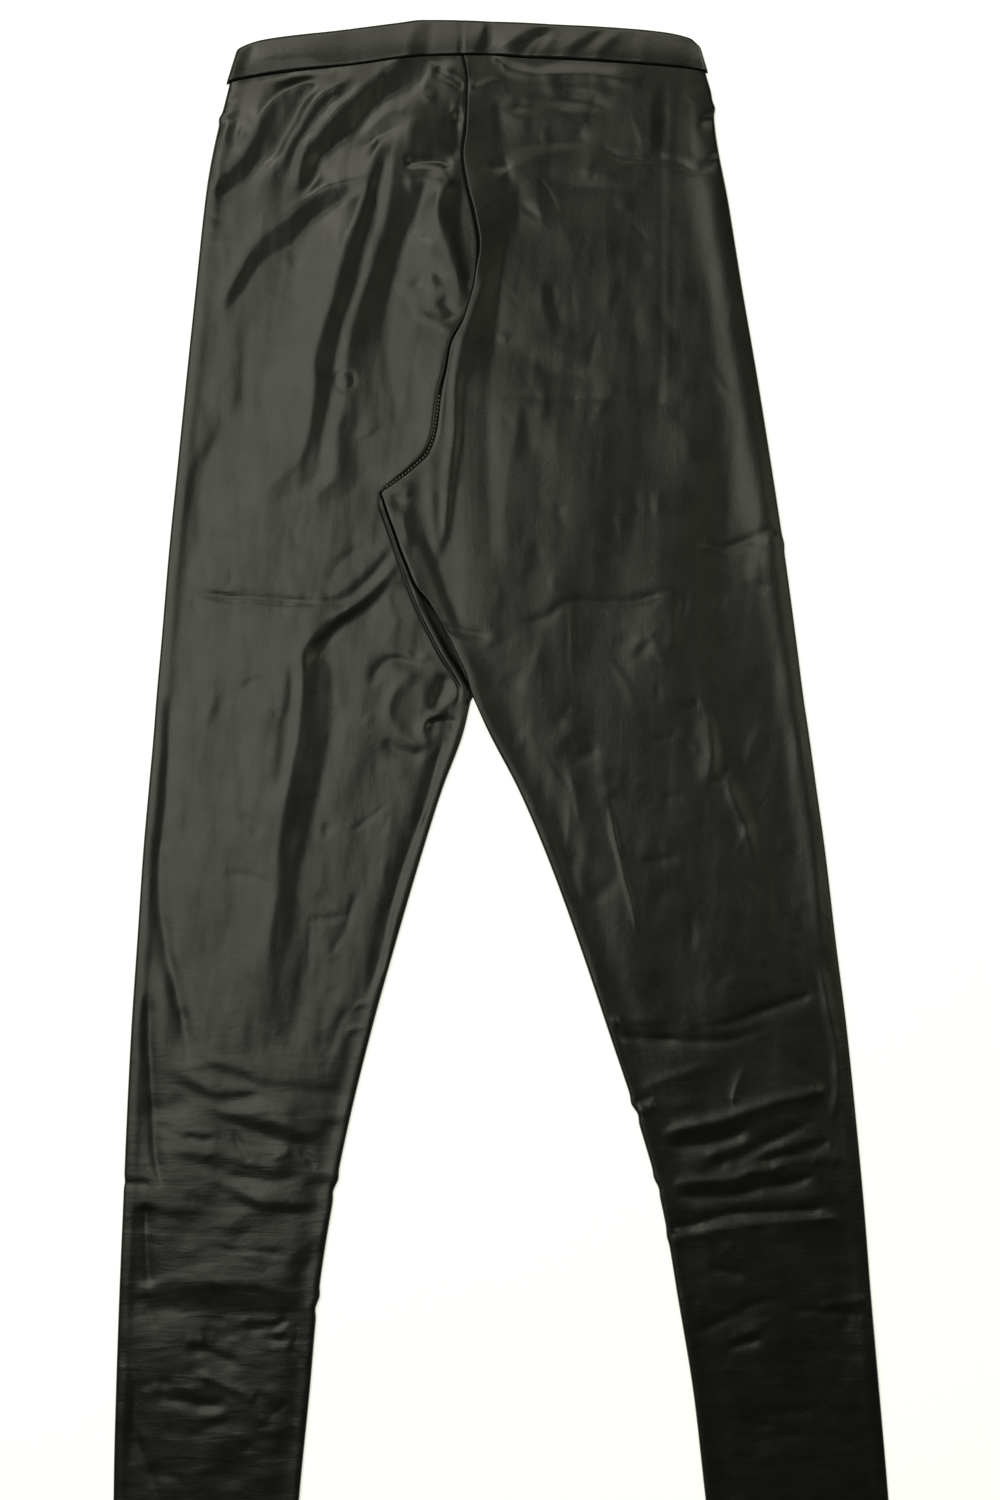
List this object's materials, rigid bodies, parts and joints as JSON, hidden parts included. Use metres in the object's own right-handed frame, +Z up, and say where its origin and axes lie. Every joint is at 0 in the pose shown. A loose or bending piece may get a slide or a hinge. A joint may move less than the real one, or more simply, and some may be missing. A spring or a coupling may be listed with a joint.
{
  "type": "faux leather leggings laid flat",
  "caption": "Full-length black faux leather leggings laid flat, face up, with a plain waistband and turned-up hems.",
  "frame": {"origin": "middle of the plan outline, on the surface that the garment lies on", "axes": "+Z up from that surface, towards the garment's front; +Y along the garment from the hems to the waistband; +X to the right as seen from above"},
  "size_m": [0.5175, 1.0699, 0.0064],
  "materials": {
    "waistband": "satin black polyurethane-coated jersey, folded over elastic",
    "leg_panels": "satin black polyurethane-coated jersey, softly creased"
  },
  "bodies": {
    "root": {"waistband": "waistband", "leg_left": "leg_panels", "leg_right": "leg_panels"}
  },
  "joints": []
}
